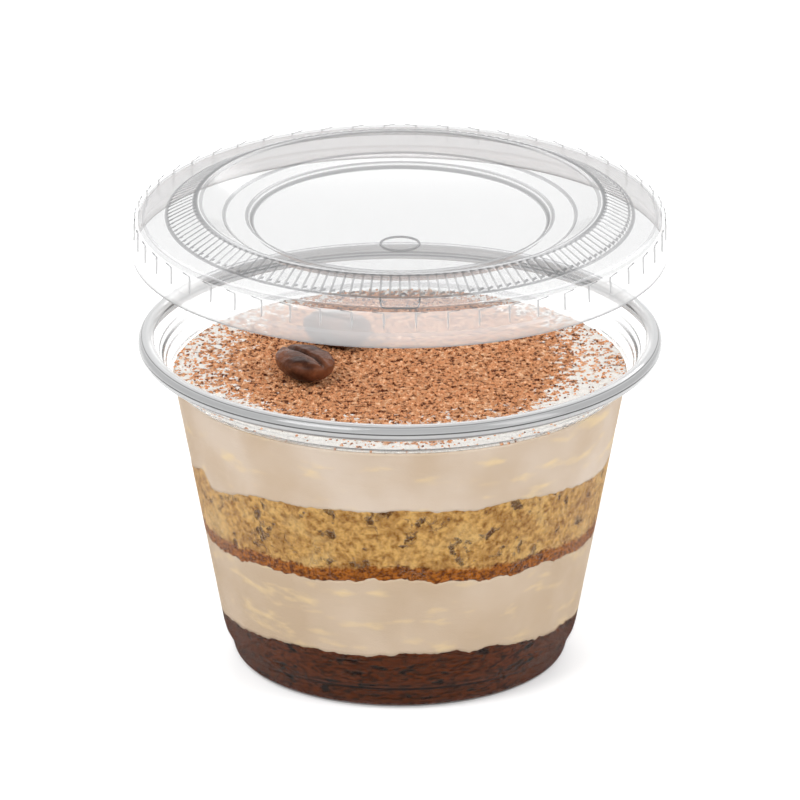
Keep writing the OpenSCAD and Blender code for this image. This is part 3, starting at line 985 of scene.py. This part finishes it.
def cocoaSurface():
    steps, count = cocoaSizes["steps"], cocoaSizes["rings"]
    points, shade, faces = [], [], []
    meanR, meanZ = fillR(cocoaZ) - cocoaSizes["margin"], cocoaZ - cocoaSizes["sink"]
    edgeR = [meanR + cocoaSizes["sway"] * ripple(3, fullTurn * i / steps) for i in range(steps)]
    for j in range(1, count + 1):
        for i in range(steps):
            a = fullTurn * i / steps
            r = edgeR[i] * j / count
            x, y = r * math.sin(a), -r * math.cos(a)
            lumps = noise.noise(Vector((x, y, 0)) * 0.8) + 0.6 * noise.noise(Vector((x, y, 3)) * 2.2)
            fade = min(1.0, (count - j) / 6)
            points.append((x, y, meanZ + cocoaSizes["bump"] * lumps * fade))
            shade.append(coverAt(r, a if a < math.pi else a - fullTurn))
    for j in range(count - 1):
        for i in range(steps):
            a, b = j * steps + i, j * steps + (i + 1) % steps
            faces.append((a, a + steps, b + steps, b))
    centre = len(points)
    points.append((0, 0, meanZ))
    shade.append(1.0)
    faces += [(centre, i, (i + 1) % steps) for i in range(steps)]
    rim = (count - 1) * steps
    under = len(points)
    for i in range(steps):
        x, y = points[rim + i][:2]
        points.append((x, y, creamZ + 0.03))
        shade.append(0.0)
    faces += [(rim + i, under + i, under + (i + 1) % steps, rim + (i + 1) % steps) for i in range(steps)]
    foot = len(points)
    points.append((0, 0, creamZ + 0.03))
    shade.append(0.0)
    faces += [(foot, under + (i + 1) % steps, under + i) for i in range(steps)]
    return makeObject("dustedTop", points, faces, dustedFinish, shade)


def grainTree():
    tree, given, result = newGroup("powderGrains", "GeometryNodeTree", (
        ("Geometry", "Geometry"), ("Density", "Float", 1000.0), ("Grain Radius", "Float", 0.0002),
        ("Seed", "Int", 1), ("Material", "Material"),
    ), (("Geometry", "Geometry"),))
    nodes = tree.nodes
    cover = nodes.new("GeometryNodeInputNamedAttribute")
    cover.data_type = "FLOAT"
    cover.inputs["Name"].default_value = "line"
    normal = nodes.new("GeometryNodeInputNormal").outputs["Normal"]
    facing = addNode(tree, "ShaderNodeSeparateXYZ", {"Vector": normal})
    up = mathNode(tree, "GREATER_THAN", facing["Z"], 0.3)
    share = mathNode(tree, "ADD", timesNode(tree, cover.outputs["Attribute"], 0.93), 0.07)
    density = timesNode(tree, given["Density"], timesNode(tree, share, up))
    scatter = addNode(tree, "GeometryNodeDistributePointsOnFaces", {
        "Mesh": given["Geometry"], "Density": density, "Seed": given["Seed"],
    })
    grain = addNode(tree, "GeometryNodeMeshIcoSphere", {"Subdivisions": 1, "Radius": given["Grain Radius"]})
    spin = nodes.new("FunctionNodeRandomValue")
    spin.data_type = "FLOAT_VECTOR"
    feed(tree, spin, {"Max": (6.28, 6.28, 6.28)})
    size = nodes.new("FunctionNodeRandomValue")
    size.data_type = "FLOAT_VECTOR"
    feed(tree, size, {"Min": (0.45, 0.45, 0.45), "Max": (1.25, 1.25, 1.1)})
    setCopies(tree, given, result, {
        "Points": scatter["Points"], "Instance": grain["Mesh"], "Rotation": spin.outputs["Value"],
        "Scale": size.outputs["Value"],
    })
    return tree


print("dusting the cocoa")
dustedTop = cocoaSurface()
cocoaArea = math.pi * cocoaSizes["grainSpread"] ** 2 * mm * mm
grains = growNodes("cocoaGrains", dustedTop, grainTree(), {
    "Density": cocoaSizes["grains"] / cocoaArea, "Grain Radius": cocoaSizes["grainR"] * mm,
    "Seed": cocoaSizes["seed"], "Material": grainFinish,
})
placePiece(dustedTop, "filled_cup", "cocoa", "cocoa_dusting")
placePiece(grains, "filled_cup", "cocoa", "cocoa_dusting")
print("grains:", len(grains.data.polygons) // 20)


# Beans

beanSizes = {
    "length": 10.4, "width": 7.8, "thick": 4.2, "share": 0.95, "crease": 0.7, "around": 96, "along": 64,
    "back": 0.66, "creaseW": 0.05, "bend": 0.05, "wrinkle": 0.16,
    "rearAt": (-8.9, 9.9), "rearTurn": -38, "frontAt": (-13.4, -3.5), "frontTurn": -58,
}


def girth(u):
    return max(0.0, 1 - abs(u) ** 2.3) ** 0.5


def beanMesh(name, which, share, seatZ, seed):
    s = beanSizes
    at, turnDeg = s[which + "At"], s[which + "Turn"]
    l, w, t = s["length"] * share, s["width"] * share, s["thick"] * share
    back, creaseW = t * s["back"], w * s["creaseW"]
    turn = math.radians(turnDeg)

    def put(x, y, z):
        across, along = x * math.cos(turn) - y * math.sin(turn), x * math.sin(turn) + y * math.cos(turn)
        return (at[0] + across, at[1] + along, seatZ + z)

    rings, shade = [], [0.0]
    for j in range(1, s["along"] + 1):
        u = math.sin(math.radians(-90 + 180 * j / (s["along"] + 1)))
        g = girth(u)
        ring = []
        for i in range(s["around"]):
            v = fullTurn * i / s["around"]
            y = w / 2 * g * math.cos(v)
            bend = w * s["bend"] * math.sin(math.radians(150 * u))
            dip = g * math.exp(-((y - bend) / creaseW) ** 2)
            if 0 < v < math.pi:
                z = (t - back) * g ** 0.7 * abs(math.sin(v)) ** 0.6 - s["crease"] * dip
                # the crease's depth, kept for its painted shade
                shade.append(min(1.0, dip))
            else:
                z = -back * g * abs(math.sin(v))
                shade.append(0.0)
            wrinkle = noise.noise(Vector((l * u * 0.35, y * 0.9, seed + z * 0.4))) * s["wrinkle"]
            z += wrinkle * (1 if z > -back * 0.6 else 0)
            ring.append(put(l / 2 * u, y, back + z))
        rings.append(ring)
    shade.append(0.0)
    piece = ringedSolid(name, rings, put(-l / 2, 0, back), put(l / 2, 0, back), beanFinish)
    setLine(piece.data, shade)
    return piece


print("making the beans")
beanRear = beanMesh("beanRear", "rear", 1.0, beanSeatRear, 2.0)
placePiece(beanRear, "filled_cup", "bean", "coffee_bean_rear")
beanFront = beanMesh("beanFront", "front", beanSizes["share"], beanSeatFront, 9.0)
placePiece(beanFront, "filled_cup", "bean", "coffee_bean_front")


# Studio

studio = {
    "elevation": 21.2, "distance": 4.0, "pxPerMm": 7.08, "targetZ": 37.85, "frame": 800, "sensor": 36,
    "world": 0.62, "floorGlow": 0.42, "floorSide": 6.0, "sheetsSeenThrough": 48,
}


def aimAt(piece, target):
    piece.rotation_mode = "QUATERNION"
    piece.rotation_quaternion = (Vector(target) - piece.location).to_track_quat("-Z", "Y")


def makeCamera():
    camera = newObject("camera", bpy.data.cameras.new("camera"))
    tilt = math.radians(studio["elevation"])
    target = Vector((0, 0, studio["targetZ"] * mm))
    camera.location = target + Vector((0, -math.cos(tilt), math.sin(tilt))) * studio["distance"]
    aimAt(camera, target)
    seen = studio["frame"] / studio["pxPerMm"] * mm
    camera.data.sensor_width = studio["sensor"]
    camera.data.lens = studio["sensor"] * studio["distance"] / seen
    camera.data.clip_start = 0.01
    bpy.context.scene.camera = camera


def softbox(name, place, size, watts, target=(0, 0, 0.035)):
    lamp = bpy.data.lights.new(name, "AREA")
    lamp.shape = "RECTANGLE"
    lamp.size, lamp.size_y = size
    lamp.energy = watts
    piece = newObject(name, lamp)
    piece.location = place
    aimAt(piece, target)


def makeWorld():
    world = bpy.data.worlds.new("studio")
    world.use_nodes = True
    tree = world.node_tree
    bpy.context.scene.world = world
    fill = tree.nodes["Background"]
    feed(tree, fill, {"Color": (1, 1, 1, 1), "Strength": studio["world"]})
    coords = tree.nodes.new("ShaderNodeTexCoord").outputs["Generated"]
    direction = addNode(tree, "ShaderNodeSeparateXYZ", {"Vector": coords})
    sight = tree.nodes.new("ShaderNodeLightPath").outputs["Is Camera Ray"]
    overhead = rangeNode(tree, direction["Z"], 0.62, 0.86, 1.0, 0.12)
    tone = mixColor(tree, overhead, (1, 1, 1, 1), sight)
    seen = addNode(tree, "ShaderNodeBackground", {"Color": tone})
    mix = addNode(tree, "ShaderNodeMixShader", {
        0: directRays(tree), 1: fill.outputs["Background"], 2: seen["Background"],
    })
    link(tree, mix["Shader"], tree.nodes["World Output"].inputs["Surface"])


def makeFloor():
    material, tree, shader = newMaterial("paleFloor")[:3]
    glow = timesNode(tree, directRays(tree), studio["floorGlow"])
    feed(tree, shader, {
        "Base Color": (0.8, 0.8, 0.8, 1), "Roughness": 0.9, "Emission Color": (1, 1, 1, 1),
        "Emission Strength": glow,
    })
    side = studio["floorSide"]
    mesh = bpy.data.meshes.new("floor")
    z = -0.00006  # a hair under the foot ring
    corners = [(-side, -side, z), (side, -side, z), (side, side, z), (-side, side, z)]
    mesh.from_pydata(corners, [], [(0, 1, 2, 3)])
    mesh.materials.append(material)
    floor = newObject("floor", mesh)


print("setting up the studio")
makeCamera()
makeWorld()
makeFloor()
softbox("keyLamp", (-0.45, -0.5, 0.75), (0.5, 0.5), 5.0)
softbox("fillLamp", (0.6, -0.35, 0.45), (0.35, 0.6), 2.2)
softbox("backLamp", (0.1, 0.7, 0.6), (0.7, 0.3), 2.5)
bpy.context.scene.view_settings.view_transform = "Standard"
bpy.context.scene.cycles.transparent_max_bounces = studio["sheetsSeenThrough"]
